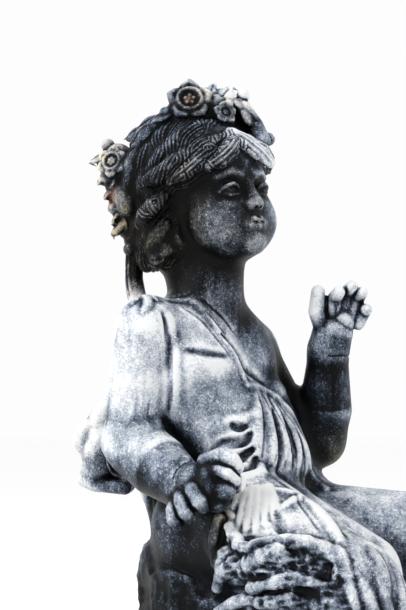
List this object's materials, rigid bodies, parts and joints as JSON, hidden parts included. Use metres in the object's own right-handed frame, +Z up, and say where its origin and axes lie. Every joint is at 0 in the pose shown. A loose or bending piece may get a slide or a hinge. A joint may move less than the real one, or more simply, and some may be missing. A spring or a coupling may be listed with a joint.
{
  "type": "seated girl statue",
  "caption": "Seated girl in a tunic and flower wreath, one hand raised, on a rock and low base, in weathered lead.",
  "frame": {"origin": "middle of the base's underside, on the ground", "axes": "+Z up; the girl faces -Y; +X is to her left"},
  "size_m": [0.36, 0.4736, 0.8297],
  "materials": {
    "weathered_lead": "cast lead, dull blue-grey, dark in the hollows with a chalky white bloom where rain washes it",
    "base_lead": "cast lead, dull dark grey"
  },
  "bodies": {
    "root": {"girl_on_rock": "weathered_lead", "low_base": "base_lead"}
  },
  "joints": []
}
